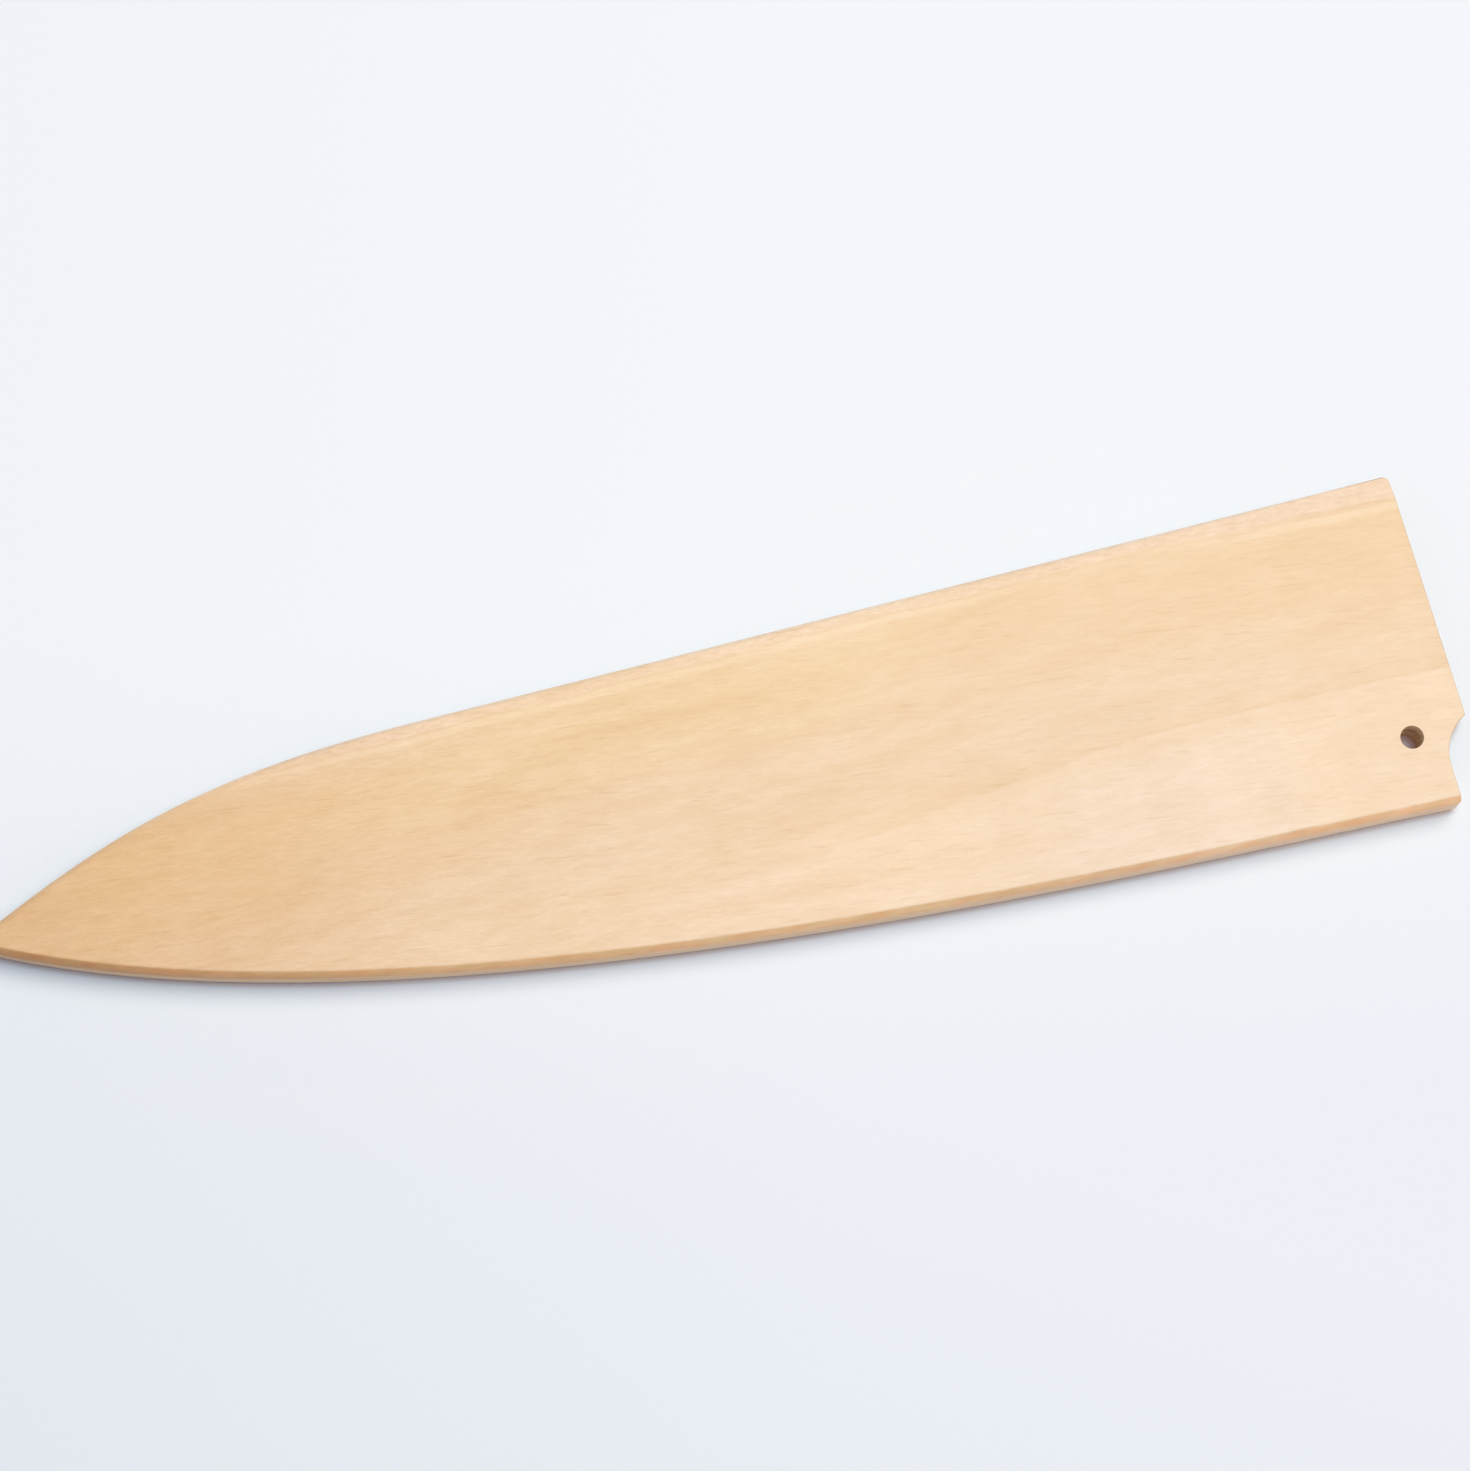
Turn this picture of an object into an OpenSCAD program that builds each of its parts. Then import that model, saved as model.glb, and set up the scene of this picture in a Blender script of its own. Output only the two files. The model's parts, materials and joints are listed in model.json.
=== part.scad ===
// Wooden sheath for a chef's knife, lying on its back face.
// Two face boards are glued to a pair of thin spacers that follow the outline of
// the blade, so the blade slides into the pocket left between them.
// A cross hole near the heel takes a loose locking pin behind the blade's heel.
// All lengths are in millimetres.

/* [Blade] */
// Length of the blade from heel to tip
blade_l = 240; // [200:1:280]
// Height of the blade at its heel
blade_h = 51; // [46:0.5:56]
// Thickness of the blade at its spine
blade_t = 2; // [1.6:0.1:3.5]
// Play between the blade's outline and the spacers
edge_gap = 0.5; // [0.3:0.1:1.5]
// Play between the blade's faces and the boards
face_gap = 0.2; // [0.1:0.05:0.6]

/* [Wood] */
// Thickness of each face board
board_t = 2.5; // [2.2:0.1:4]
// Width of the spacers around the blade
wall = 4.3; // [3.5:0.1:8]
// Chamfer along the outer arrises of the boards
chamfer = 1.05; // [0.5:0.05:1.5]
// Rounding of the spine's corner at the mouth, seen from above
corner_r = 1.2; // [0.5:0.1:3]

/* [Spine] */
// Length of the stretch where the spine drops to the tip
drop_l = 81.5; // [70:0.5:95]
// Reach of the curve that leaves the straight spine
spine_pull = 37; // [25:1:45]
// Reach of the same curve where it runs into the tip
drop_pull = 27.5; // [10:0.5:30]
// Slope of the spine side at the tip, in degrees
drop_slope = 25; // [15:1:35]
// Width of the shallow bevel planed along the spine
bevel_w = 2.6; // [1.5:0.1:4]
// Width that the bevel reaches at the mouth
bevel_mouth_w = 4.8; // [2:0.1:7]
// Length of the stretch in which it widens
bevel_flare_l = 45; // [20:1:90]
// Slope of the bevel against the face, in degrees
bevel_slope = 10.5; // [4:0.5:16]

/* [Tip and belly] */
// Depth of the tip below the spine line
tip_drop = 19.5; // [15:0.1:25]
// Rounding of the tip, seen from above
tip_r = 2.2; // [1.6:0.1:4]
// Slope of the belly side at the tip, in degrees
belly_slope = 27; // [18:1:35]
// Reach of the belly curve at the tip
belly_tip_pull = 72; // [50:1:90]
// Reach of the belly curve at the heel
belly_heel_pull = 70; // [40:1:90]
// Slope that is left in the belly at the heel, in degrees
heel_slope = 2.4; // [0:0.1:4]

/* [Mouth] */
// Depth of the step that sets the heel back from the mouth
heel_step = 5.1; // [5:0.1:7]
// Height of that step above the lowest point of the sheath
heel_step_h = 14.8; // [14:0.1:20]
// Slope of the step where it leaves the mouth, in degrees
heel_step_slope = 30; // [30:1:45]
// Radius where the step turns into the heel face
heel_step_r = 9.1; // [6:0.1:9.5]
// Rounding of the heel's corner, seen from above
heel_corner_r = 0.5; // [0.3:0.1:2]

/* [Pin hole] */
// Diameter of the hole for the locking pin
pin_hole_d = 4.1; // [3:0.1:6]
// Distance of the hole from the mouth
pin_inset = 10.3; // [8.5:0.1:16]
// Height of the hole above the lowest point of the sheath
pin_h = 13.2; // [9:0.1:18]
// Play between the pin hole and the blade's heel
pin_gap = 0.3; // [0.1:0.1:2]

/* [Hidden] */
$fn = 96;

// Segments along the spine's drop, round the tip and along the belly
DROP_STEPS = 24;
TIP_STEPS = 10;
BELLY_STEPS = 36;
// Segments round a corner of the mouth
CORNER_STEPS = 8;
// Overrun of cutting bodies past the wood, and of profiles past the mouth
over = 10;

// Overall sizes
pocket_t = blade_t + face_gap;
total_w = blade_h + 2 * edge_gap + 2 * wall;
// The blade's heel sits behind the pin, and its point in the corner of the pocket
heel_x = pin_inset + pin_hole_d / 2 + pin_gap;
tip_half_angle = (drop_slope + belly_slope) / 2;
point_to_tip = tip_r + (wall + edge_gap - tip_r) / sin(tip_half_angle);
total_l = heel_x + blade_l + point_to_tip;
pin_centre = [-pin_inset, pin_h - total_w];

// Outline, seen from above: the mouth is at x = 0 and the spine at y = 0
tip_centre = [tip_r - total_l, -tip_drop];
spine_end = tip_centre + tip_r * [-sin(drop_slope), cos(drop_slope)];
belly_start = tip_centre - tip_r * [sin(belly_slope), cos(belly_slope)];
heel_corner_drop = heel_corner_r * (tan(heel_slope) + 1 / cos(heel_slope) - 1);
belly_end = [-heel_step, -total_w - heel_corner_drop];
into_spine = [cos(drop_slope), sin(drop_slope)];
into_belly = [cos(belly_slope), -sin(belly_slope)];
out_of_belly = [cos(heel_slope), -sin(heel_slope)];
drop_start = [drop_l - total_l, 0];

drop_curve = [
    drop_start,
    drop_start - [spine_pull, 0],
    spine_end + drop_pull * into_spine,
    spine_end
];
belly_curve = [
    belly_start,
    belly_start + belly_tip_pull * into_belly,
    belly_end - belly_heel_pull * out_of_belly,
    belly_end
];

// Step in the mouth: the fillet touches the sloped line and the heel face
step_top = [0, heel_step_h - total_w];
fillet_x = heel_step_r - heel_step;
fillet_y = step_top.y
    + (fillet_x * sin(heel_step_slope) - heel_step_r) / cos(heel_step_slope);
fillet_centre = [fillet_x, fillet_y];
heel_corner_centre = [-heel_step - heel_corner_r, heel_corner_r - total_w];

// Point, direction and inward normal of a cubic curve at t from 0 to 1
function cubic(p, t) =
    pow(1 - t, 3) * p[0]
    + 3 * t * pow(1 - t, 2) * p[1]
    + 3 * pow(t, 2) * (1 - t) * p[2]
    + pow(t, 3) * p[3];
function cubic_dir(p, t) =
    pow(1 - t, 2) * (p[1] - p[0])
    + 2 * t * (1 - t) * (p[2] - p[1])
    + pow(t, 2) * (p[3] - p[2]);
function left_of(v) = [-v.y, v.x] / norm(v);

// Points of an arc from angle a0 to angle a1
function arc(centre, r, a0, a1, steps) = [
    for (i = [0:steps])
        let (a = a0 + i * (a1 - a0) / steps)
        centre + r * [cos(a), sin(a)]
];

// Curve moved inwards by inset, as a list of points
function inset_curve(p, inset, steps) = [
    for (i = [0:steps])
        cubic(p, i / steps) + inset * left_of(cubic_dir(p, i / steps))
];
function inner(points) = [for (i = [1:len(points) - 2]) points[i]];
function tip_arc(inset) =
    arc(tip_centre, tip_r - inset, 90 + drop_slope, 270 - belly_slope, TIP_STEPS);
function belly_past_mouth(inset) =
    let (end = belly_end + inset * left_of(out_of_belly))
    end + (over + heel_step) / out_of_belly.x * out_of_belly;

// Whole outline moved inwards by inset and run past the mouth
module outline(inset) {
    polygon(concat(
        [[over, -inset]],
        inset_curve(drop_curve, inset, DROP_STEPS),
        inner(tip_arc(inset)),
        inset_curve(belly_curve, inset, BELLY_STEPS),
        [belly_past_mouth(inset)]
    ));
}

// Everything below the spine line moved inwards by inset
module below_spine(inset) {
    past_tip = spine_end + inset * left_of(-into_spine) - total_w * into_spine;
    polygon(concat(
        [[over, -inset]],
        inset_curve(drop_curve, inset, DROP_STEPS),
        [past_tip, [past_tip.x, -2 * total_w], [over, -2 * total_w]]
    ));
}

// Everything above the belly line moved inwards by inset
module above_belly(inset) {
    past_tip = belly_start + inset * left_of(into_belly) - total_w * into_belly;
    polygon(concat(
        [[past_tip.x, total_w], past_tip],
        inset_curve(belly_curve, inset, BELLY_STEPS),
        [belly_past_mouth(inset), [over, total_w]]
    ));
}

// What is sawn off at the mouth: the step at the heel and the rounded corners
module mouth_waste() {
    below_heel = [-sin(heel_slope), -cos(heel_slope)];
    polygon(concat(
        [[-corner_r, over]],
        arc([-corner_r, -corner_r], corner_r, 90, 0, CORNER_STEPS),
        [step_top],
        arc(fillet_centre, heel_step_r, 90 + heel_step_slope, 180, CORNER_STEPS),
        arc(heel_corner_centre, heel_corner_r, 0, -90 - heel_slope, CORNER_STEPS),
        [
            heel_corner_centre + (heel_corner_r + over) * below_heel,
            [2 * over, -total_w - over],
            [2 * over, over]
        ]
    ));
}

// Body above the bevel plane, hinged on the ridge between bevel and face
module bevel_waste(ridge_end, ridge_turn) {
    translate([ridge_end.x, ridge_end.y, board_t])
        rotate([0, 0, ridge_turn])
        rotate([-bevel_slope, 0, 0])
        translate([-2 * total_l, 0, 0])
        cube([4 * total_l, total_w, board_t + over]);
}

// Face board with its inner face on z = 0 and its chamfered face upwards
module board() {
    flare_turn = atan((bevel_mouth_w - bevel_w) / bevel_flare_l);
    difference() {
        hull() {
            linear_extrude(board_t - chamfer) outline(0);
            linear_extrude(board_t) outline(chamfer);
        }
        bevel_waste([0, -bevel_w], 0);
        bevel_waste([0, -bevel_mouth_w], -flare_turn);
        translate([0, 0, -over]) linear_extrude(board_t + 2 * over) mouth_waste();
        translate([pin_centre.x, pin_centre.y, -over])
            cylinder(d = pin_hole_d, h = board_t + 2 * over);
    }
}

// Puts the middle of the sheath's footprint on the origin
module place(z) {
    translate([total_l / 2, total_w / 2, z]) children();
}

module front_board() {
    color([0.95, 0.84, 0.69]) place(board_t + pocket_t) board();
}

module back_board() {
    color([0.92, 0.80, 0.64]) place(board_t) mirror([0, 0, 1]) board();
}

// Spacer under the spine, which runs out to the tip
module spine_spacer() {
    color([0.86, 0.72, 0.54]) place(board_t) linear_extrude(pocket_t) difference() {
        outline(0);
        below_spine(wall);
        mouth_waste();
    }
}

// Spacer along the cutting edge, butted against the spine spacer at the tip
module edge_spacer() {
    color([0.80, 0.66, 0.48]) place(board_t) linear_extrude(pocket_t) difference() {
        intersection() {
            outline(0);
            below_spine(wall);
        }
        above_belly(wall);
        mouth_waste();
    }
}

front_board();
back_board();
spine_spacer();
edge_spacer();
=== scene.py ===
"""Looks of a wooden sheath for a chef's knife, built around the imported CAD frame.

Each CAD node is copied, its edges are eased as a woodworker eases them, and it gets
procedural wood. The floor, the lamps and the camera follow the photograph.
"""

import json
import math

import bmesh
import bpy
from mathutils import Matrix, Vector

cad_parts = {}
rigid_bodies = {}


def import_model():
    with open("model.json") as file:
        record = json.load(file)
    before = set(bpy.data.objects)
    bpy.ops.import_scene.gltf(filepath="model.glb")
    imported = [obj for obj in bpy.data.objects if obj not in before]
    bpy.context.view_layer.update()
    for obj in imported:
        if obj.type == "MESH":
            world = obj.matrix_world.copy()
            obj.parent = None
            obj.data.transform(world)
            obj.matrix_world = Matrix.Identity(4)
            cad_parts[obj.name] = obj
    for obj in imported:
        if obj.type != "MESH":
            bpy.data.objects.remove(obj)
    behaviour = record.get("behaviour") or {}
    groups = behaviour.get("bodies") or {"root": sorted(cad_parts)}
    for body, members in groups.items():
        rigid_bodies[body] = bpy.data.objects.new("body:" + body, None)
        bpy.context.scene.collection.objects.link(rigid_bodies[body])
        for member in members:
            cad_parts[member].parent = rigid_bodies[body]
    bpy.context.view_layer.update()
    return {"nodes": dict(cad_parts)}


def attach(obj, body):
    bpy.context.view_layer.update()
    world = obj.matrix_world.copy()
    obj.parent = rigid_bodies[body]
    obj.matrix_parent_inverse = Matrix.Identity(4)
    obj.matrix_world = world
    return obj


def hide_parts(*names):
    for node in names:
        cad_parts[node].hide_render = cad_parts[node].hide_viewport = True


MM = 0.001

# Image and camera, in metres and degrees
IMAGE_H = 1471
SENSOR_MM = 36.0
FOCAL_PX = 3420.0
CAMERA_AT = (-31.032 * MM, -124.643 * MM, 590.526 * MM)
CAMERA_TILT = 13.744
CAMERA_TURN = -14.698
CAMERA_NEAREST = 0.01
CAMERA_FURTHEST = 20.0

# Eased edges, in millimetres; the belly's ease fades out between two heights
EASE_ARRIS = 0.30
EASE_BELLY = 0.85
EASE_MOUTH = 0.20
EASE_BORE = 0.12
EASE_SEAM = 0.05
EASE_RIDGE_END = 0.07
EASE_SEGMENTS = 3
BELLY_EASE_Y = (4.0, 16.0)
CHAMFER_EASE_SHARE = 0.4

# An arris turns more than the first, one flat face less than the second, in degrees
ARRIS_MIN_TURN = 14.0
SAME_FACE_TURN = 0.15

# Distances within which points, cuts and levels count as the same, in millimetres
SAME_POINT = 0.06
SAME_CUT = 0.002
SAME_LEVEL = 0.01

# Sheath, in millimetres: the levels of its layers, its chamfers and its pin hole
HALF_L = 130.39
HALF_W = 30.3
LAYER_LOW = 2.5
LAYER_HIGH = 4.7
FACE_Z = 7.2
MIDDLE_Z = FACE_Z / 2
CHAMFER = 1.05
CHAMFER_FOOT = FACE_Z - MIDDLE_Z - CHAMFER
MOUTH_ZONE = 8.0
HOLE_X = 120.09
HOLE_Y = -17.1
HOLE_R = 2.05
BORE_REACH = 0.3

# Bevel along the spine, in millimetres: the ridge where it meets the face, and its flare
SPINE_ZONE_Y = 20.0
RIDGE_IN = 2.6
RIDGE_MOUTH_IN = 4.8
RIDGE_SLOPE = math.tan(math.radians(10.5))
RIDGE_SOFT = 0.9
RIDGE_STEPS = 3
RIDGE_END_X = -76.96
RIDGE_END_REACH = 4.5
FLARE_X = 85.39
FLARE_CUTS = (FLARE_X, 98.0, 109.0)
FLARE_TURN = math.atan2(RIDGE_MOUTH_IN - RIDGE_IN, HALF_L - FLARE_X)

# Wood: colours from tip to mouth, and how the boards change from spine to belly
BOARD_STOPS = [
    (0.0, (0.735, 0.437, 0.198)),
    (0.3, (0.822, 0.542, 0.288)),
    (0.6, (0.862, 0.590, 0.330)),
    (1.0, (0.868, 0.593, 0.327)),
]
BOARD_ACROSS = (1.0, 1.035, 1.19)
SPACER_STOPS = [
    (0.0, (0.74, 0.50, 0.28)),
    (1.0, (0.82, 0.585, 0.36)),
]

# Layers of the grain, coarse to fine: turn in degrees, cells per mm along and across
# the fibres, and how far each layer moves red, green and blue
GRAIN_LAYERS = [
    (0.3, 0.014, 0.10, (0.045, 0.110, 0.260)),
    (0.0, 0.040, 0.20, (0.078, 0.145, 0.290)),
    (1.0, 0.090, 0.42, (0.080, 0.130, 0.230)),
    (3.0, 0.170, 0.85, (0.088, 0.135, 0.255)),
    (6.0, 0.340, 1.80, (0.118, 0.145, 0.235)),
    (20.0, 1.400, 2.40, (0.080, 0.092, 0.115)),
    (8.0, 0.650, 3.60, (0.130, 0.145, 0.175)),
]
GRAIN_WANDER = 1.6
GRAIN_CALM = 0.77
VESSEL_TINT = (0.935, 0.905, 0.86)
WOOD_ROUGH = (0.42, 0.52)
WOOD_SPECULAR = 0.5
WOOD_BUMP = (0.35, 0.04 * MM)

# Soft zones of the face: start, full, full and end along x and along y, and the tint
FACE_ZONES = [
    # Yellower where the spine drops, and under the straight spine
    ((-120.0, -104.0, -84.0, -66.0), (0.0, 8.0, 18.0, 24.0), (1.0, 0.98, 0.91)),
    ((-88.0, -62.0, 16.0, 50.0), (8.0, 14.0, 20.0, 26.0), (1.0, 0.995, 0.93)),
    # Paler beside the ridge
    ((-60.0, -30.0, 30.0, 56.0), (18.0, 25.0, 32.0, 34.0), (1.035, 1.06, 1.08)),
    # Paler along the middle, towards the tip and towards the mouth
    ((-72.0, -48.0, -14.0, 8.0), (-9.0, -3.0, 0.0, 5.0), (1.015, 1.045, 1.09)),
    ((34.0, 56.0, 96.0, 112.0), (-5.0, -1.0, 6.0, 12.0), (1.0, 1.025, 1.07)),
    # Paler along the belly, and round the heel
    ((-90.0, -55.0, 24.0, 60.0), (-34.0, -30.0, -9.0, -3.0), (1.03, 1.045, 1.055)),
    ((72.0, 100.0, 132.0, 134.0), (-34.0, -30.0, -12.0, -4.0), (1.018, 1.02, 1.015)),
    # Yellower just below the growth ring
    ((2.0, 18.0, 36.0, 50.0), (-30.0, -19.0, -5.0, 0.0), (1.0, 0.985, 0.955)),
]

# Growth ring: late wood above it, early wood below it, and its thin line
LATE_TINT = (0.985, 0.975, 0.955)
EARLY_TINT = (1.015, 1.035, 1.06)
RING_LINE_TINT = (0.975, 0.94, 0.90)

# Cross figure: the paler patch, and its bars
PATCH_TINT = (1.01, 1.03, 1.08)
BARS_SHADE = (0.10, 0.13, 0.18)

# Bevel along the spine: its wood with a painted sheen, the painted highlight under its ridge, and
# both in the flare
BEVEL_SHEEN_TINT = (1.05, 1.075, 1.21)
BEVEL_MOTTLES = (0.24, 0.38, 0.52)
RIDGE_HIGHLIGHT_TINT = (1.05, 1.09, 1.16)
FLARE_HIGHLIGHT_TINT = (1.015, 1.025, 1.05)
FLARE_SHEEN_TINT = (1.0, 1.012, 1.055)

# Brown on the chamfers: partly wear, partly painted shade where they face away from the lamp; more
# painted shade at the tip and painted light at the mouth; and its blotches
WORN_AND_SHADE_TINT = (0.97, 0.825, 0.62)
CHAMFER_TIP_SHADE_TINT = (0.88, 0.865, 0.87)
CHAMFER_MOUTH_LIGHT_TINT = (1.12, 1.08, 1.14)
WORN_BLOTCHES = (0.32, 0.46, 0.66)
WORN_HUES = (0.14, -0.30, -0.42)

# Rims, sides and end grain; the drop's rim and the side under the belly carry painted light
RIM_TINT = (0.95, 1.0, 1.07)
DROP_LIGHT_TINT = (1.14, 1.19, 1.28)
SIDE_LIGHT_TINT = (1.15, 1.06, 0.99)
LOW_SIDE_FLOOR_LIGHT_TINT = (1.0, 1.03, 1.07)
END_TINT = (0.75, 0.71, 0.66)
BORE_TINT = (0.97, 0.99, 0.87)

# Where each noise is read, so that no two of them look alike
BLOTCH_SHIFT = 51.0
HUE_SHIFT = 57.0
RIPPLE_SHIFT = 61.0
BROKEN_SHIFT = 67.0
BARS_SHIFT = 71.0
VESSEL_SHIFT = 83.0
WAVER_SHIFT = 91.0
MOTTLE_SHIFT = 97.0

# Light: a broad lamp high over the mouth end, and a bluish room
KEY_SHARE = 0.70
KEY_WIDTH = 50.0
KEY_TILT = 22.0
KEY_LEAN = 7.5
KEY_COLOUR = (1.03, 0.97, 0.86)
AMBIENT = (0.25, 0.33, 0.48)
BACKDROP = (0.92, 0.94, 0.965)

# Floor, in millimetres: painted shade dims it a little towards the near left of the picture
FLOOR_HALF = 3000.0
FLOOR_GAP = 0.02
FLOOR_TURN = 14.7
FLOOR_COLOUR = (0.940, 0.918, 0.895)
FLOOR_MIDDLE = (34.0, -44.0)
FLOOR_MIDDLE_TINT = (0.930, 0.946, 0.958)
FLOOR_NEAR = (-40.0, -172.0)
FLOOR_NEAR_SKEW = 0.35
FLOOR_NEAR_TINT = (0.925, 0.945, 0.945)
FLOOR_LEFT = (20.0, -140.0)
FLOOR_LEFT_TINT = (0.96, 0.965, 0.97)
FLOOR_SPECKS = (0.012, 0.012, 0.012)
FLOOR_ROUGH = 0.85
FLOOR_SPECULAR = 0.2
FLOOR_BUMP = (0.15, 0.1 * MM)

# Paper round the sheath: painted bluish shade where the wood shuts off the sky, a painted dark
# contact shadow where they touch, and painted light on the paper under the pin hole
SHUT_SAMPLES = 12
SHUT_REACH = 20.0
SHUT_TINT = (0.78, 1.005, 1.19)
SHUT_TINT_FAR = (0.66, 0.90, 1.11)
SHUT_TOUCHED = 0.35
TOUCH_REACH = 1.4
TOUCH_SHARE = 0.36
CONTACT_SHADOW_TINT = (0.83, 0.745, 0.705)
TOUCH_FAR = 0.25
HOLE_FLOOR_LIGHT_TINT = (1.25, 1.06, 1.18)


def clear_scene():
    for thing in list(bpy.data.objects):
        bpy.data.objects.remove(thing, do_unlink=True)


class Graph:
    """Short calls that add nodes to a tree and return the socket they give."""

    def __init__(self, tree):
        self.tree = tree
        tree.nodes.clear()

    def put(self, socket, value):
        if isinstance(value, bpy.types.NodeSocket):
            self.tree.links.new(value, socket)
        else:
            socket.default_value = value

    def node(self, kind, inputs=None, **settings):
        made = self.tree.nodes.new(kind)
        for name, value in settings.items():
            setattr(made, name, value)
        for name, value in (inputs or {}).items():
            self.put(made.inputs[name], value)
        return made

    def math(self, operation, a, b=0.0):
        return self.node("ShaderNodeMath", {0: a, 1: b}, operation=operation).outputs[0]

    def sum(self, *values):
        total = values[0]
        for value in values[1:]:
            total = self.math("ADD", total, value)
        return total

    def product(self, *values):
        total = values[0]
        for value in values[1:]:
            total = self.math("MULTIPLY", total, value)
        return total

    def vector(self, operation, a, b):
        made = self.node("ShaderNodeVectorMath", {0: a, 1: b}, operation=operation)
        return made.outputs[0]

    def join(self, x, y, z):
        return self.node("ShaderNodeCombineXYZ", {0: x, 1: y, 2: z}).outputs[0]

    def split(self, vector):
        return self.node("ShaderNodeSeparateXYZ", {0: vector}).outputs

    def place(self):
        """Place on the object, in millimetres."""
        metres = self.node("ShaderNodeTexCoord").outputs["Object"]
        return self.vector("MULTIPLY", metres, (1 / MM, 1 / MM, 1 / MM))

    def turned(self, vector, degrees):
        inputs = {"Vector": vector, "Rotation": (0, 0, math.radians(degrees))}
        return self.node("ShaderNodeMapping", inputs).outputs[0]

    def distance(self, x, y, from_x, from_y):
        away_x = self.math("SUBTRACT", x, from_x)
        away_y = self.math("SUBTRACT", y, from_y)
        away = self.join(away_x, away_y, 0.0)
        return self.node("ShaderNodeVectorMath", {0: away}, operation="LENGTH").outputs["Value"]

    def noise(self, vector, stretch, detail=2.0, roughness=0.5, shift=0.0):
        moved = self.vector("MULTIPLY", vector, stretch)
        moved = self.vector("ADD", moved, (shift, 0.7 * shift, 1.3 * shift))
        inputs = {"Vector": moved, "Scale": 1.0, "Detail": detail, "Roughness": roughness}
        return self.node("ShaderNodeTexNoise", inputs).outputs["Fac"]

    def remap(self, value, low, high, to_low=0.0, to_high=1.0, smooth=True):
        inputs = {0: value, 1: low, 2: high, 3: to_low, 4: to_high}
        made = self.node("ShaderNodeMapRange", inputs)
        made.interpolation_type = "SMOOTHSTEP" if smooth else "LINEAR"
        return made.outputs[0]

    def window(self, value, bounds):
        """One between the middle two bounds, and nought past the outer two."""
        start, full, last, end = bounds
        return self.product(self.remap(value, start, full), self.remap(value, end, last))

    def ramp(self, value, stops):
        made = self.node("ShaderNodeValToRGB", {0: value})
        band = made.color_ramp
        while len(band.elements) < len(stops):
            band.elements.new(0.5)
        for element, (place, colour) in zip(band.elements, stops):
            element.position = place
            element.color = (*colour, 1.0)
        return made.outputs[0]

    def mix(self, factor, a, b):
        made = self.node("ShaderNodeMix", data_type="RGBA")
        self.put(made.inputs[0], factor)
        self.put(made.inputs[6], a)
        self.put(made.inputs[7], b)
        return made.outputs[2]

    def scaled(self, colour, factor, change):
        """Colour times one plus the change, per channel, for each unit of factor."""
        inputs = {0: factor, 1: change, 2: (1, 1, 1)}
        scale = self.node("ShaderNodeVectorMath", inputs, operation="MULTIPLY_ADD")
        return self.vector("MULTIPLY", colour, scale.outputs[0])

    def tint(self, colour, factor, times):
        """Colour where factor is nought, and colour times the given one where it is one."""
        return self.scaled(colour, factor, tuple(value - 1.0 for value in times))

    def shade(self, colour, value, amount):
        """Colour moved by the amount, per channel, as value leaves a half."""
        return self.scaled(colour, self.math("SUBTRACT", value, 0.5), amount)

    def shut(self, reach):
        """Share of the sky that other things hide within a reach in millimetres."""
        inputs = {"Distance": reach * MM}
        around = self.node("ShaderNodeAmbientOcclusion", inputs, samples=SHUT_SAMPLES)
        return self.math("SUBTRACT", 1.0, around.outputs["AO"])

    def surface(self, colour, roughness, specular, height, bump):
        """Ends a material's tree in a bumpy surface."""
        strength, depth = bump
        inputs = {"Strength": strength, "Distance": depth, "Height": height}
        bumpy = self.node("ShaderNodeBump", inputs)
        inputs = {"Base Color": colour, "Roughness": roughness}
        shader = self.node("ShaderNodeBsdfPrincipled", inputs)
        self.put(shader.inputs["Specular IOR Level"], specular)
        self.put(shader.inputs["Normal"], bumpy.outputs[0])
        out = self.node("ShaderNodeOutputMaterial")
        self.put(out.inputs["Surface"], shader.outputs[0])


def new_material(name):
    material = bpy.data.materials.new(name)
    material.use_nodes = True
    return material, Graph(material.node_tree)


class Spot:
    """Where a point lies on the sheath, in millimetres, and which way its surface faces."""

    def __init__(self, g, shift):
        self.shift = shift
        self.place = g.place()
        self.x, self.y, self.z = g.split(self.place)
        normal = g.split(g.node("ShaderNodeTexCoord").outputs["Normal"])
        self.level = g.math("ABSOLUTE", normal[2])
        self.end_on = g.math("ABSOLUTE", normal[0])
        self.tilted = g.remap(self.level, 0.97, 0.85)
        mouth_end = g.product(g.remap(self.end_on, 0.3, 0.7), g.remap(self.x, 117.0, 120.0))
        self.long_side = g.math("SUBTRACT", 1.0, mouth_end)
        from_hole = g.distance(self.x, self.y, HOLE_X, HOLE_Y)
        self.off_hole = g.remap(from_hole, HOLE_R + 0.2, HOLE_R + BORE_REACH)


def slow_figure(g, at, colour):
    """Broad soft zones of the face: yellower by the spine, paler along its middle."""
    for along, over, times in FACE_ZONES:
        zone = g.product(g.window(at.x, along), g.window(at.y, over))
        colour = g.tint(colour, zone, times)
    return colour


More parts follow.
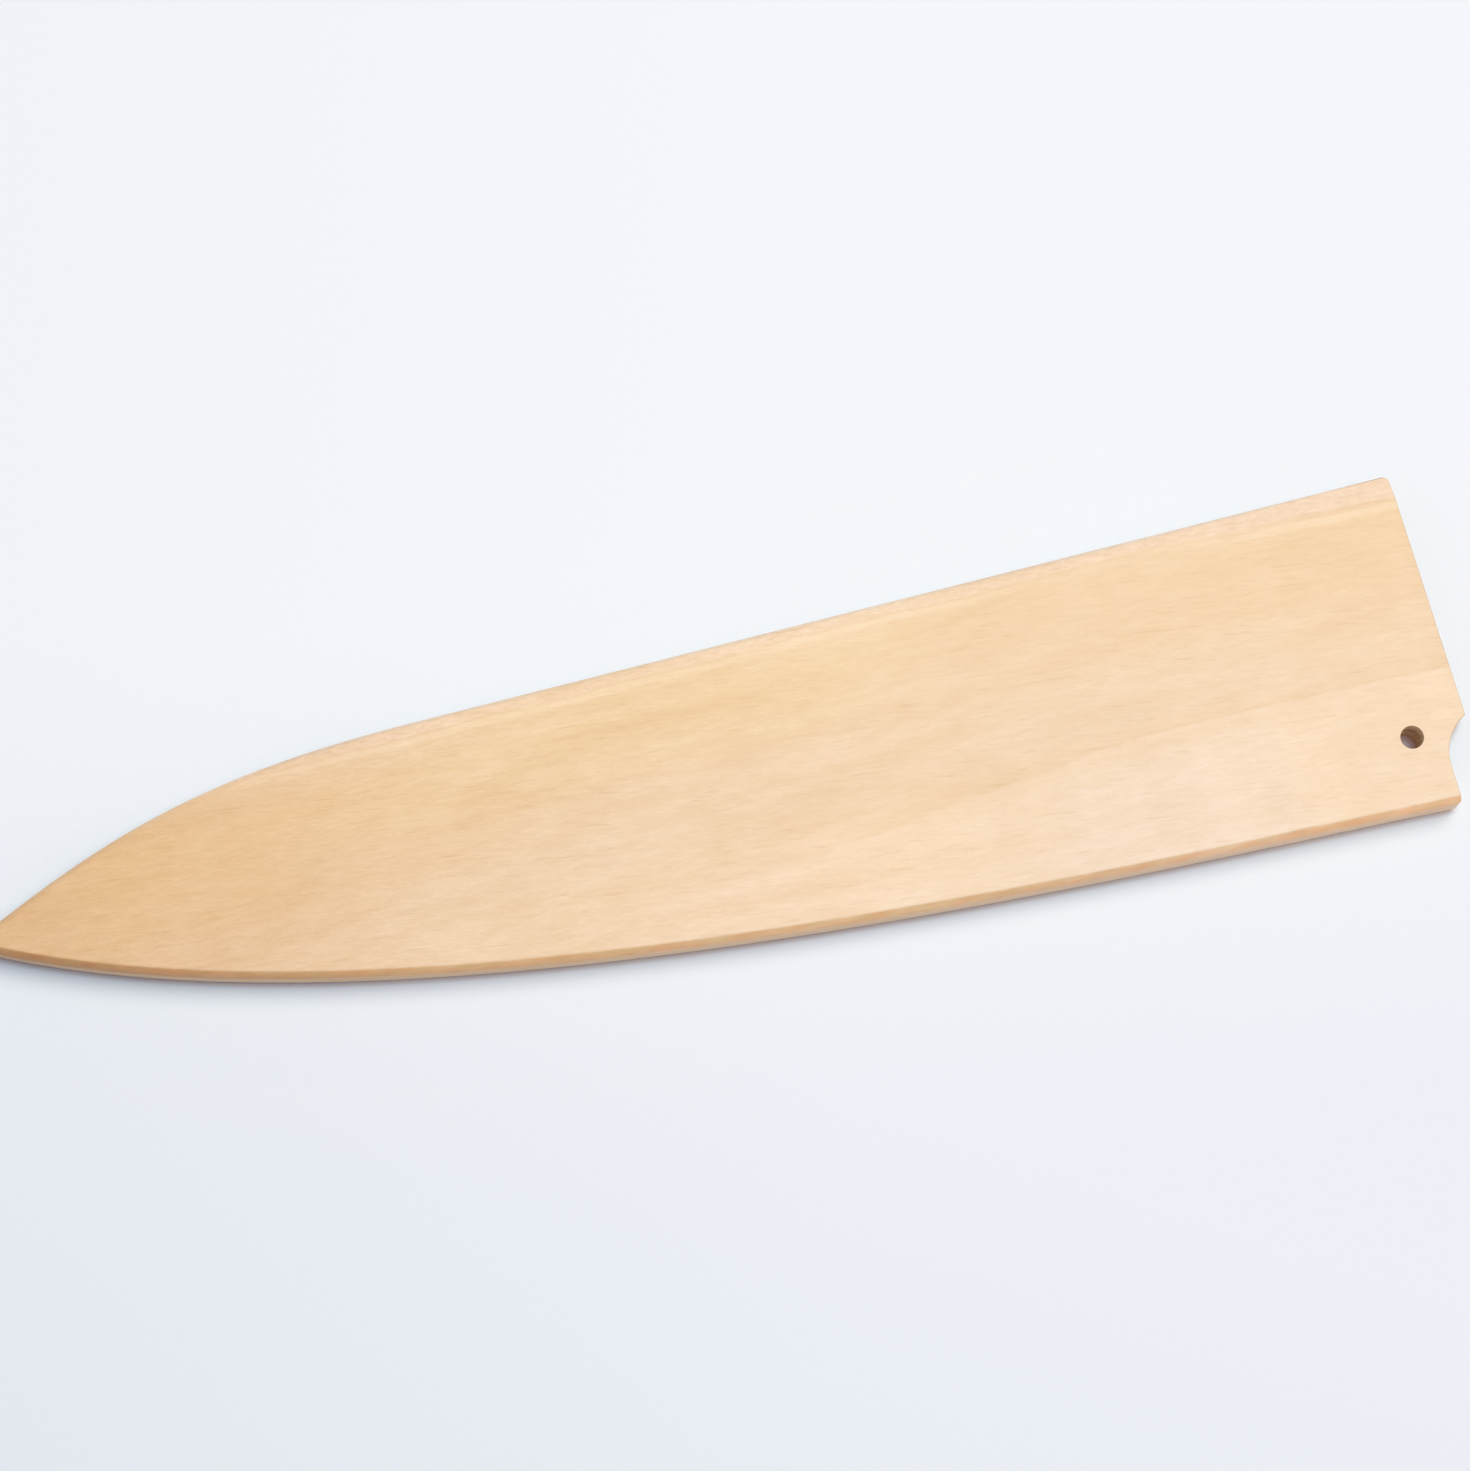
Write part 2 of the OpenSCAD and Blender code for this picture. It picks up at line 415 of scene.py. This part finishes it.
def ring_boundary(g, at, colour):
    """One growth ring that leaves the belly, climbs towards the mouth and levels out."""
    climb = g.remap(at.x, -20.0, 92.0, -12.2, -4.9)
    fall = g.remap(at.x, 96.0, 135.0, 0.0, -1.4)
    ripple = g.noise(at.place, (0.05, 0.02, 0.02), 2.0, 0.5, at.shift + RIPPLE_SHIFT)
    ripple = g.remap(ripple, 0.3, 0.7, -0.5, 0.5, smooth=False)
    above = g.math("SUBTRACT", at.y, g.sum(climb, fall, ripple))
    shown = g.remap(at.x, -30.0, 55.0)
    late = g.product(g.window(above, (-0.25, 0.15, 0.2, 5.0)), shown)
    colour = g.tint(colour, late, LATE_TINT)
    early = g.product(g.remap(above, 0.15, -0.8), shown)
    colour = g.tint(colour, early, EARLY_TINT)
    broken = g.noise(at.place, (0.11, 0.02, 0.02), 2.0, 0.6, at.shift + BROKEN_SHIFT)
    thin = g.window(above, (-0.15, 0.1, 0.2, 0.5))
    line = g.product(thin, g.remap(at.x, 40.0, 100.0), g.remap(broken, 0.35, 0.6))
    return g.tint(colour, line, RING_LINE_TINT)


def cross_figure(g, at, colour):
    """A paler patch with faint bars across the grain, below the growth ring."""
    slanted = g.turned(at.place, -8.0)
    bars = g.noise(slanted, (0.17, 0.035, 0.03), 2.0, 0.55, at.shift + BARS_SHIFT)
    patch = g.product(g.window(at.x, (50.0, 62.0, 95.0, 101.0)), g.remap(at.y, -2.0, -10.0))
    colour = g.tint(colour, patch, PATCH_TINT)
    near = g.product(g.remap(at.x, 20.0, 60.0), g.remap(at.y, 6.0, -8.0))
    return g.mix(near, colour, g.shade(colour, bars, BARS_SHADE))


def past_wavy_ridge(g, at):
    """How far a point lies past the ridge between face and bevel, with a little waver."""
    straight = g.math("SUBTRACT", at.y, HALF_W - RIDGE_IN)
    up = g.math("SUBTRACT", at.y, HALF_W - RIDGE_MOUTH_IN)
    along = g.math("SUBTRACT", at.x, HALF_L)
    up_part = g.math("MULTIPLY", up, math.cos(FLARE_TURN))
    along_part = g.math("MULTIPLY", along, math.sin(FLARE_TURN))
    past = g.math("MAXIMUM", straight, g.math("ADD", up_part, along_part))
    waver = g.noise(at.place, (0.05, 0.05, 0.05), 2.0, 0.5, at.shift + WAVER_SHIFT)
    return g.math("ADD", past, g.remap(waver, 0.3, 0.7, -0.35, 0.35, smooth=False))


def bevel_band(g, at, colour):
    """Mottled pinkish wood with a painted sheen on the bevel along the spine, and a painted
    highlight as a pale line under its ridge.
    """
    past = past_wavy_ridge(g, at)
    mottles = g.noise(at.place, (0.55, 1.3, 1.3), 3.0, 0.68, at.shift + MOTTLE_SHIFT)
    # Painted sheen: the bevel's wood is made paler and bluer, as if catching gloss
    mottled = g.shade(g.vector("MULTIPLY", colour, BEVEL_SHEEN_TINT), mottles, BEVEL_MOTTLES)
    colour = g.mix(g.remap(past, -0.2, 0.5), colour, mottled)
    flare = g.remap(at.x, 86.0, 104.0)
    under = g.math("ADD", past, g.math("MULTIPLY", flare, 0.7))
    strength = g.math("MAXIMUM", g.remap(at.x, 62.0, 48.0, 0.4, 1.0), flare)
    # Painted highlight along the ridge
    line = g.product(g.window(under, (-1.9, -0.9, -0.5, 0.1)), strength)
    colour = g.tint(colour, line, RIDGE_HIGHLIGHT_TINT)
    colour = g.tint(colour, g.product(line, flare), FLARE_HIGHLIGHT_TINT)
    # Painted sheen over the flared part of the bevel
    return g.tint(colour, g.product(flare, g.remap(past, -1.7, -0.8)), FLARE_SHEEN_TINT)


def grain(g, at, colour):
    """Fibres and vessels; gives the colour, the finest layer and the vessels."""
    wander = g.noise(at.place, (0.010, 0.03, 0.06), 2.0, 0.5, at.shift)
    wander = g.remap(wander, 0.25, 0.75, -GRAIN_WANDER, GRAIN_WANDER, smooth=False)
    bent = g.join(at.x, g.math("ADD", at.y, wander), at.z)
    calm = g.remap(at.x, -45.0, 55.0, 1.0, GRAIN_CALM)
    for number, (turn, along, over, amount) in enumerate(GRAIN_LAYERS):
        fibres = g.turned(bent, turn)
        layer = g.noise(fibres, (along, over, over), 1.0, 0.5, at.shift + 10.0 * number)
        faded = g.product(g.math("SUBTRACT", layer, 0.5), calm)
        colour = g.scaled(colour, faded, amount)
    dashes = g.noise(fibres, (0.16, 2.6, 2.6), 1.0, 0.5, at.shift + VESSEL_SHIFT)
    vessels = g.remap(dashes, 0.64, 0.76)
    return g.tint(colour, vessels, VESSEL_TINT), layer, vessels


def worn_and_shaded_edges(g, at, colour):
    """Browner blotched wood on the chamfers, mostly under the belly, and on the top of the side
    under them: partly wear, partly painted shade, darker at the tip and lighter at the mouth.
    """
    from_middle = g.math("ABSOLUTE", g.math("SUBTRACT", at.z, MIDDLE_Z))
    from_face = g.math("SUBTRACT", FACE_Z - MIDDLE_Z, from_middle)
    below_spine = g.product(g.remap(at.y, 12.5, 9.0, 0.05, 1.0), g.remap(at.y, 29.0, 25.0))
    worn_and_shaded = g.product(at.tilted, g.remap(from_face, 2.6, 1.4), below_spine)
    blotches = g.noise(at.place, (0.16, 0.5, 0.5), 3.0, 0.6, at.shift + BLOTCH_SHIFT)
    hues = g.noise(at.place, (0.22, 0.5, 0.5), 2.0, 0.6, at.shift + HUE_SHIFT)
    # Painted shade on top of wear: the chamfers that face away from the lamp are made darker and
    # browner
    brown = g.vector("MULTIPLY", colour, WORN_AND_SHADE_TINT)
    # More painted shade towards the tip, painted light towards the mouth
    brown = g.tint(brown, g.remap(at.x, -60.0, -120.0), CHAMFER_TIP_SHADE_TINT)
    brown = g.tint(brown, g.remap(at.x, 45.0, 125.0), CHAMFER_MOUTH_LIGHT_TINT)
    brown = g.shade(brown, blotches, WORN_BLOTCHES)
    brown = g.shade(brown, hues, WORN_HUES)
    return g.mix(g.product(worn_and_shaded, at.long_side, at.off_hole), colour, brown)


def rims_and_sides(g, at, colour):
    """The rim of the spine, painted light on the rim of the tip's drop, and painted light on the
    side under the belly, bluer low down.
    """
    rim = g.product(at.tilted, g.remap(at.y, 28.6, 29.0))
    colour = g.tint(colour, rim, RIM_TINT)
    # Painted light: the drop's rim faces away from the lamp and is brightened
    drop = g.product(at.tilted, g.remap(at.x, -70.0, -98.0), g.remap(at.y, 9.5, 13.0))
    colour = g.tint(colour, drop, DROP_LIGHT_TINT)
    # Painted light: the side under the belly is warmed and brightened against the bluish room
    # light
    side = g.product(g.remap(at.level, 0.8, 0.45), g.remap(at.y, 12.5, 9.0))
    side = g.product(side, at.off_hole, at.long_side)
    colour = g.tint(colour, side, SIDE_LIGHT_TINT)
    # Painted bluish floor light on the lower part of that side
    return g.tint(colour, g.product(side, g.remap(at.z, 4.2, 2.2)), LOW_SIDE_FLOOR_LIGHT_TINT)


def end_grain(g, at, colour):
    """Darker wood where the fibres end, and the wall of the pin hole."""
    end = g.product(g.remap(at.end_on, 0.05, 0.6), at.off_hole)
    colour = g.tint(colour, end, END_TINT)
    in_hole = g.math("SUBTRACT", 1.0, at.off_hole)
    return g.tint(colour, g.product(g.remap(at.level, 0.97, 0.6), in_hole), BORE_TINT)


def wood(name, shift, stops, across=None, photo_side=False):
    """Pale close-grained wood whose fibres run almost along the sheath."""
    material, g = new_material(name)
    at = Spot(g, shift)
    colour = g.ramp(g.remap(at.x, -130.0, 130.0, smooth=False), stops)
    if across:
        colour = g.tint(colour, g.remap(at.y, 24.0, -24.0, smooth=False), across)
    if photo_side:
        for figure in (slow_figure, ring_boundary, cross_figure, bevel_band):
            colour = figure(g, at, colour)
    colour, finest, vessels = grain(g, at, colour)
    for finish in (worn_and_shaded_edges, rims_and_sides, end_grain):
        colour = finish(g, at, colour)
    rough = g.remap(finest, 0.3, 0.7, *WOOD_ROUGH, smooth=False)
    height = g.math("SUBTRACT", g.product(finest, 0.7), g.product(vessels, 0.6))
    g.surface(colour, rough, WOOD_SPECULAR, height, WOOD_BUMP)
    return material


def chamfer_width(x):
    """Width that the spine's bevel leaves of the chamfer at x, along its slope."""
    flared = max(0.0, (x - FLARE_X) / (HALF_L - FLARE_X))
    reach = RIDGE_IN + (RIDGE_MOUTH_IN - RIDGE_IN) * flared
    return math.sqrt(2) * (CHAMFER - RIDGE_SLOPE * reach) / (1 - RIDGE_SLOPE)


def belly_ease(y):
    """Ease of the arris under the chamfer, which is broad along the belly."""
    low, high = BELLY_EASE_Y
    rise = min(1.0, max(0.0, (y - low) / (high - low)))
    return EASE_BELLY + rise * (EASE_ARRIS - EASE_BELLY)


def edge_ease(edge):
    """How much an edge is eased, in millimetres, from how sharply it turns and where it lies."""
    if math.degrees(edge.calc_face_angle(0.0)) < ARRIS_MIN_TURN:
        return 0.0
    ends = [vert.co / MM for vert in edge.verts]
    middle = (ends[0] + ends[1]) / 2
    level = abs(ends[0].z - ends[1].z) < SAME_LEVEL
    from_foot = abs(abs(middle.z - MIDDLE_Z) - CHAMFER_FOOT)
    under_chamfer = level and from_foot < SAME_LEVEL
    from_seam = min(abs(middle.z - LAYER_LOW), abs(middle.z - LAYER_HIGH))
    if level and from_seam < SAME_LEVEL:
        return EASE_SEAM
    if math.hypot(middle.x - HOLE_X, middle.y - HOLE_Y) < HOLE_R + BORE_REACH:
        return EASE_BORE
    if middle.x > HALF_L - MOUTH_ZONE:
        return EASE_MOUTH
    near_ridge_end = abs(middle.x - RIDGE_END_X) < RIDGE_END_REACH
    if middle.y > SPINE_ZONE_Y and near_ridge_end and not under_chamfer:
        return EASE_RIDGE_END
    if middle.y > HALF_W - RIDGE_IN:
        furthest = max(end.x for end in ends)
        return min(EASE_ARRIS, CHAMFER_EASE_SHARE * chamfer_width(furthest))
    if under_chamfer:
        return belly_ease(middle.y)
    return EASE_ARRIS


def past_ridge(x, y):
    """How far a point lies past the ridge between face and bevel, in millimetres."""
    straight = y - (HALF_W - RIDGE_IN)
    up = y - (HALF_W - RIDGE_MOUTH_IN)
    flared = up * math.cos(FLARE_TURN) + (x - HALF_L) * math.sin(FLARE_TURN)
    return max(straight, flared)


def cut(solid, geometry, point, normal):
    """Cuts the geometry along a plane, and gives the points and edges of the cut."""
    made = bmesh.ops.bisect_plane(
        solid,
        geom=geometry,
        dist=SAME_CUT * MM,
        plane_co=point,
        plane_no=normal,
    )
    return made["geom_cut"]


def cut_across(solid, x):
    """Cuts every face along a plane across the sheath, and keeps that cut from being dissolved."""
    geometry = [*solid.verts, *solid.edges, *solid.faces]
    for part in cut(solid, geometry, Vector((x * MM, 0.0, 0.0)), Vector((1.0, 0.0, 0.0))):
        if isinstance(part, bmesh.types.BMEdge):
            part.seam = True


def cut_beside_ridge(solid):
    """Cuts both faces of a board into narrow strips along its ridge."""
    lines = [
        ((0.0, HALF_W - RIDGE_IN), (0.0, 1.0)),
        ((HALF_L, HALF_W - RIDGE_MOUTH_IN), (math.sin(FLARE_TURN), math.cos(FLARE_TURN))),
    ]
    for (start_x, start_y), (across_x, across_y) in lines:
        for step in range(-RIDGE_STEPS, RIDGE_STEPS + 1):
            away = RIDGE_SOFT * step / RIDGE_STEPS
            point = Vector((start_x + away * across_x, start_y + away * across_y, 0.0)) * MM
            faces = [face for face in solid.faces if abs(face.normal.z) > 0.5]
            edges = {edge for face in faces for edge in face.edges}
            verts = {vert for face in faces for vert in face.verts}
            cut(solid, [*verts, *edges, *faces], point, Vector((across_x, across_y, 0.0)))


def round_ridge(solid):
    """Rounds the ridge between face and bevel over the strips beside it."""
    for vert in solid.verts:
        away = past_ridge(vert.co.x / MM, vert.co.y / MM)
        if abs(away) > RIDGE_SOFT:
            continue
        sharp = RIDGE_SLOPE * max(0.0, away)
        rounded = RIDGE_SLOPE * (away + RIDGE_SOFT) ** 2 / (4 * RIDGE_SOFT)
        height = abs(vert.co.z / MM - MIDDLE_Z) - CHAMFER_FOOT
        near_face = min(1.0, max(0.0, height / CHAMFER))
        inwards = -1.0 if vert.co.z / MM > MIDDLE_Z else 1.0
        vert.co.z += inwards * (rounded - sharp) * near_face * MM


def weighted_mesh(node, board):
    """Mesh of a CAD node with plain faces, and with the ease of each edge as its weight."""
    mesh = frame["nodes"][node].data.copy()
    mesh.name = node + "_finished"
    solid = bmesh.new()
    solid.from_mesh(mesh)
    bmesh.ops.remove_doubles(solid, verts=solid.verts, dist=SAME_POINT * MM)
    if board:
        for x in (HOLE_X, *FLARE_CUTS):
            cut_across(solid, x)
    bmesh.ops.dissolve_limit(
        solid,
        angle_limit=math.radians(SAME_FACE_TURN),
        verts=solid.verts,
        edges=solid.edges,
        delimit={"SEAM"},
    )
    weight = solid.edges.layers.float.new("bevel_weight_edge")
    for edge in solid.edges:
        edge[weight] = edge_ease(edge) / EASE_ARRIS
    solid.to_mesh(mesh)
    solid.free()
    return mesh


def ease_edges(piece):
    """Rounds the weighted edges, and keeps the result as the mesh of the piece."""
    ease = piece.modifiers.new("ease", "BEVEL")
    ease.limit_method = "WEIGHT"
    ease.width = EASE_ARRIS * MM
    ease.segments = EASE_SEGMENTS
    ease.use_clamp_overlap = False
    ease.loop_slide = False
    shown = piece.evaluated_get(bpy.context.evaluated_depsgraph_get())
    eased = bpy.data.meshes.new_from_object(shown)
    piece.modifiers.clear()
    piece.data = eased


def smooth_faces(piece, board):
    """Softens the ridge of a board, and shades all faces as one sanded surface."""
    solid = bmesh.new()
    solid.from_mesh(piece.data)
    if board:
        cut_beside_ridge(solid)
        round_ridge(solid)
        for vert in solid.verts:
            vert.co.z = min(FACE_Z * MM, max(0.0, vert.co.z))
    for face in solid.faces:
        face.smooth = True
    solid.to_mesh(piece.data)
    solid.free()
    shade = piece.modifiers.new("shade", "WEIGHTED_NORMAL")
    shade.keep_sharp = False
    shade.weight = 100


def finished_copy(node, material):
    """Copy of a CAD node with eased edges, which stands for that node."""
    board = node.endswith("board")
    piece = bpy.data.objects.new(node + "_finished", weighted_mesh(node, board))
    bpy.context.scene.collection.objects.link(piece)
    ease_edges(piece)
    smooth_faces(piece, board)
    piece.data.materials.clear()
    piece.data.materials.append(material)
    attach(piece, "root")
    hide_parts(node)


def shade_round_sheath(g, x, y, colour):
    """Paints bluish shade on the paper where the sheath hides the sky from it, a dark contact
    shadow where they touch, and light under the pin hole.
    """
    at_mouth = g.product(g.remap(x, 122.5, 125.5), g.remap(y, -29.0, -21.0))
    far = g.math("MAXIMUM", g.remap(y, 12.0, 26.0), at_mouth)
    shut = g.shut(SHUT_REACH)
    touch = g.remap(g.shut(TOUCH_REACH), 0.0, TOUCH_SHARE, smooth=False)
    off_contact = g.remap(touch, 0.3, 1.0, 1.0, SHUT_TOUCHED)
    near = g.product(g.math("SUBTRACT", 1.0, far), off_contact)
    colour = g.tint(colour, g.product(shut, near), SHUT_TINT)
    colour = g.tint(colour, g.product(shut, far), SHUT_TINT_FAR)
    touch = g.product(touch, g.remap(y, 8.0, 14.0, 1.0, TOUCH_FAR))
    # Painted contact shadow where paper and sheath touch
    colour = g.tint(colour, touch, CONTACT_SHADOW_TINT)
    in_hole = g.remap(g.distance(x, y, HOLE_X, HOLE_Y), 3.2, 2.8)
    # Painted light on the shaded paper seen through the pin hole
    return g.tint(colour, in_hole, HOLE_FLOOR_LIGHT_TINT)


def paper():
    """Pale matt paper with fine specks, painted shade that dims it towards the near left, and
    painted shade and light round the sheath.
    """
    material, g = new_material("paper")
    place = g.place()
    x, y, _ = g.split(place)
    right, up, _ = g.split(g.turned(place, FLOOR_TURN))
    # Painted shade: the paper dims below the middle, towards the near edge and towards the left
    colour = g.tint(FLOOR_COLOUR, g.remap(up, *FLOOR_MIDDLE, smooth=False), FLOOR_MIDDLE_TINT)
    skewed = g.sum(up, g.math("MULTIPLY", right, FLOOR_NEAR_SKEW))
    colour = g.tint(colour, g.remap(skewed, *FLOOR_NEAR, smooth=False), FLOOR_NEAR_TINT)
    colour = g.tint(colour, g.remap(right, *FLOOR_LEFT, smooth=False), FLOOR_LEFT_TINT)
    specks = g.noise(place, (0.6, 0.6, 0.6), 3.0, 0.6)
    colour = g.shade(colour, specks, FLOOR_SPECKS)
    colour = shade_round_sheath(g, x, y, colour)
    g.surface(colour, FLOOR_ROUGH, FLOOR_SPECULAR, specks, FLOOR_BUMP)
    return material


def make_floor():
    mesh = bpy.data.meshes.new("floor")
    signs = [(-1, -1), (1, -1), (1, 1), (-1, 1)]
    corners = [(x * FLOOR_HALF * MM, y * FLOOR_HALF * MM, 0) for x, y in signs]
    mesh.from_pydata(corners, [], [(0, 1, 2, 3)])
    mesh.materials.append(paper())
    floor = bpy.data.objects.new("floor", mesh)
    floor.location.z = -FLOOR_GAP * MM
    bpy.context.scene.collection.objects.link(floor)


def make_key():
    key = bpy.data.lights.new("key", "SUN")
    key.angle = math.radians(KEY_WIDTH)
    key.energy = KEY_SHARE * math.pi / math.cos(math.radians(KEY_TILT))
    key.color = KEY_COLOUR
    lamp = bpy.data.objects.new("key", key)
    towards = Vector((math.tan(math.radians(KEY_TILT)), math.tan(math.radians(KEY_LEAN)), 1.0))
    lamp.location = towards
    lamp.rotation_euler = towards.to_track_quat("Z", "Y").to_euler()
    bpy.context.scene.collection.objects.link(lamp)


def make_room():
    """Soft bluish light from all sides, and a white backdrop for the eye and for gloss."""
    world = bpy.data.worlds.new("studio")
    bpy.context.scene.world = world
    world.use_nodes = True
    g = Graph(world.node_tree)
    paths = g.node("ShaderNodeLightPath").outputs
    seen = g.math("MAXIMUM", paths["Is Camera Ray"], paths["Is Glossy Ray"])
    seen = g.math("MAXIMUM", seen, paths["Is Transmission Ray"])
    light = g.node("ShaderNodeBackground", {"Color": (*AMBIENT, 1.0), "Strength": 1.0})
    backdrop = g.node("ShaderNodeBackground", {"Color": (*BACKDROP, 1.0), "Strength": 1.0})
    inputs = {0: seen, 1: light.outputs[0], 2: backdrop.outputs[0]}
    both = g.node("ShaderNodeMixShader", inputs)
    g.node("ShaderNodeOutputWorld", {"Surface": both.outputs[0]})


def make_camera():
    data = bpy.data.cameras.new("camera")
    data.lens = SENSOR_MM * FOCAL_PX / IMAGE_H
    data.sensor_width = SENSOR_MM
    data.clip_start = CAMERA_NEAREST
    data.clip_end = CAMERA_FURTHEST
    camera = bpy.data.objects.new("camera", data)
    camera.location = CAMERA_AT
    camera.rotation_euler = (math.radians(CAMERA_TILT), 0, math.radians(CAMERA_TURN))
    bpy.context.scene.collection.objects.link(camera)
    bpy.context.scene.camera = camera


clear_scene()
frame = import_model()

front_wood = wood("front_wood", 0.0, BOARD_STOPS, BOARD_ACROSS, photo_side=True)
back_wood = wood("back_wood", 200.0, BOARD_STOPS, BOARD_ACROSS)
spine_wood = wood("spine_wood", 400.0, SPACER_STOPS)
edge_wood = wood("edge_wood", 600.0, SPACER_STOPS)
finished_copy("front_board", front_wood)
finished_copy("back_board", back_wood)
finished_copy("spine_spacer", spine_wood)
finished_copy("edge_spacer", edge_wood)
make_floor()
make_key()
make_room()
make_camera()

view = bpy.context.scene.view_settings
view.view_transform = "Standard"
